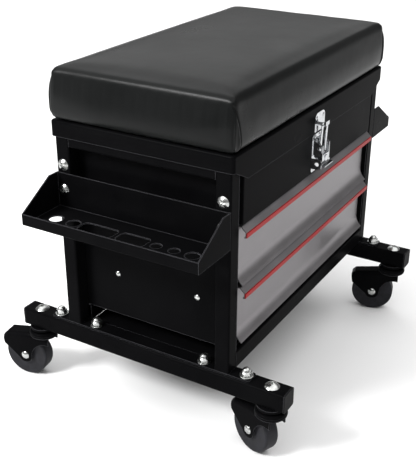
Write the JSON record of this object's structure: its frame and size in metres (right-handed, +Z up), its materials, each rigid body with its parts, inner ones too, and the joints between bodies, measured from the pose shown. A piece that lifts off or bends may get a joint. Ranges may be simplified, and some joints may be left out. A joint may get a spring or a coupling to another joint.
{
  "type": "rolling mechanic seat",
  "caption": "Rolling mechanic's seat: padded lid over a steel toolbox with two drawers, tool trays at both ends and a tube frame on swivel casters.",
  "frame": {"origin": "middle of the footprint, on the floor", "axes": "+X along the seat's length to the right, +Y to the back, so the drawers and latch face -Y, +Z up"},
  "size_m": [0.583, 0.4366, 0.4485],
  "materials": {
    "powder_coat": "glossy black powder coat on steel sheet and tube",
    "zinc_steel": "bright zinc-plated steel fasteners, slides and hinges",
    "chrome_latch": "nickel-plated pressed steel draw latch",
    "drawer_grey": "silver-grey powder coat on the drawer fronts",
    "red_strip": "red glossy strip along each drawer pull",
    "wheel_grey": "dark grey moulded caster wheel",
    "plug_plastic": "black moulded tube plugs",
    "seat_vinyl": "black vinyl upholstery over foam",
    "plywood": "plain plywood seat board, hidden"
  },
  "bodies": {
    "frame": {"base_sheet": "powder_coat", "base_tube_left": "powder_coat", "base_tube_right": "powder_coat", "box_shell": "powder_coat", "caster_bolts": "zinc_steel", "caster_races": "powder_coat", "compartment_floor": "powder_coat", "crossbar_left": "powder_coat", "crossbar_right": "powder_coat", "foot_bar_left": "powder_coat", "foot_bar_right": "powder_coat", "frame_bolts": "zinc_steel", "frame_nuts": "zinc_steel", "frame_screws": "zinc_steel", "hinge_leaves_box": "zinc_steel", "hinge_pins": "zinc_steel", "latch_base": "chrome_latch", "latch_base_rivets": "chrome_latch", "latch_pins": "chrome_latch", "post_front_left": "powder_coat", "post_front_right": "powder_coat", "post_rear_left": "powder_coat", "post_rear_right": "powder_coat", "rail_front": "powder_coat", "rail_rear": "powder_coat", "slide_channels": "zinc_steel", "slide_rivets": "zinc_steel", "tray_left": "powder_coat", "tray_right": "powder_coat", "tube_end_plugs": "plug_plastic", "upper_front_panel": "powder_coat"},
    "lid": {"lid_pan": "powder_coat", "seat_board": "plywood", "cushion": "seat_vinyl", "cushion_screws": "zinc_steel", "latch_keeper": "chrome_latch", "latch_keeper_rivets": "chrome_latch", "hinge_leaves_lid": "zinc_steel"},
    "latch_lever": {"latch_lever": "chrome_latch"},
    "latch_loop": {"latch_loop": "chrome_latch"},
    "drawer_upper": {"drawer_upper_tray": "powder_coat", "drawer_upper_front": "drawer_grey", "drawer_upper_strip": "red_strip", "drawer_upper_runners": "zinc_steel"},
    "drawer_lower": {"drawer_lower_tray": "powder_coat", "drawer_lower_front": "drawer_grey", "drawer_lower_strip": "red_strip", "drawer_lower_runners": "zinc_steel"},
    "swivel_rear_left": {"caster_fork_rear_left": "powder_coat", "caster_axle_rear_left": "zinc_steel"},
    "wheel_rear_left": {"caster_wheel_rear_left": "wheel_grey"},
    "swivel_front_left": {"caster_fork_front_left": "powder_coat", "caster_axle_front_left": "zinc_steel"},
    "wheel_front_left": {"caster_wheel_front_left": "wheel_grey"},
    "swivel_front_right": {"caster_fork_front_right": "powder_coat", "caster_axle_front_right": "zinc_steel"},
    "wheel_front_right": {"caster_wheel_front_right": "wheel_grey"},
    "swivel_rear_right": {"caster_fork_rear_right": "powder_coat", "caster_axle_rear_right": "zinc_steel"},
    "wheel_rear_right": {"caster_wheel_rear_right": "wheel_grey"}
  },
  "joints": [
    {"name": "lid_hinge", "type": "hinge", "parent": "frame", "child": "lid", "pos_m": [0, 0.10515, 0.3655], "axis": [-1, 0, 0], "range_deg": [0, 100]},
    {"name": "drawer_upper_slide", "type": "slide", "parent": "frame", "child": "drawer_upper", "axis": [0, -1, 0], "range_m": [0, 0.17]},
    {"name": "drawer_lower_slide", "type": "slide", "parent": "frame", "child": "drawer_lower", "axis": [0, -1, 0], "range_m": [0, 0.17]},
    {"name": "latch_lever_pivot", "type": "hinge", "parent": "frame", "child": "latch_lever", "pos_m": [0, -0.15335, 0.334], "axis": [-1, 0, 0], "range_deg": [0, 70]},
    {"name": "latch_loop_pivot", "type": "hinge", "parent": "latch_lever", "child": "latch_loop", "pos_m": [0, -0.15195, 0.325], "axis": [-1, 0, 0], "range_deg": [-60, 0]},
    {"name": "swivel_rear_left", "type": "hinge", "parent": "frame", "child": "swivel_rear_left", "pos_m": [-0.2125, 0.15665, 0.07], "axis": [0, 0, 1], "continuous": true},
    {"name": "wheel_spin_rear_left", "type": "hinge", "parent": "swivel_rear_left", "child": "wheel_rear_left", "pos_m": [-0.21668, 0.18302, 0.032], "axis": [-0.9877, -0.1564, 0], "continuous": true},
    {"name": "swivel_front_left", "type": "hinge", "parent": "frame", "child": "swivel_front_left", "pos_m": [-0.2125, -0.19535, 0.07], "axis": [0, 0, 1], "continuous": true},
    {"name": "wheel_spin_front_left", "type": "hinge", "parent": "swivel_front_left", "child": "wheel_front_left", "pos_m": [-0.2025, -0.17059, 0.032], "axis": [-0.9272, 0.3746, 0], "continuous": true},
    {"name": "swivel_front_right", "type": "hinge", "parent": "frame", "child": "swivel_front_right", "pos_m": [0.2125, -0.19535, 0.07], "axis": [0, 0, 1], "continuous": true},
    {"name": "wheel_spin_front_right", "type": "hinge", "parent": "swivel_front_right", "child": "wheel_front_right", "pos_m": [0.20559, -0.16956, 0.032], "axis": [-0.9659, -0.2588, 0], "continuous": true},
    {"name": "swivel_rear_right", "type": "hinge", "parent": "frame", "child": "swivel_rear_right", "pos_m": [0.2125, 0.15665, 0.07], "axis": [0, 0, 1], "continuous": true},
    {"name": "wheel_spin_rear_right", "type": "hinge", "parent": "swivel_rear_right", "child": "wheel_rear_right", "pos_m": [0.21529, 0.18321, 0.032], "axis": [-0.9945, 0.1045, 0], "continuous": true}
  ],
  "couplings": [
    {"joint": "latch_loop_pivot", "follows": "latch_lever_pivot", "ratio": -0.805}
  ]
}
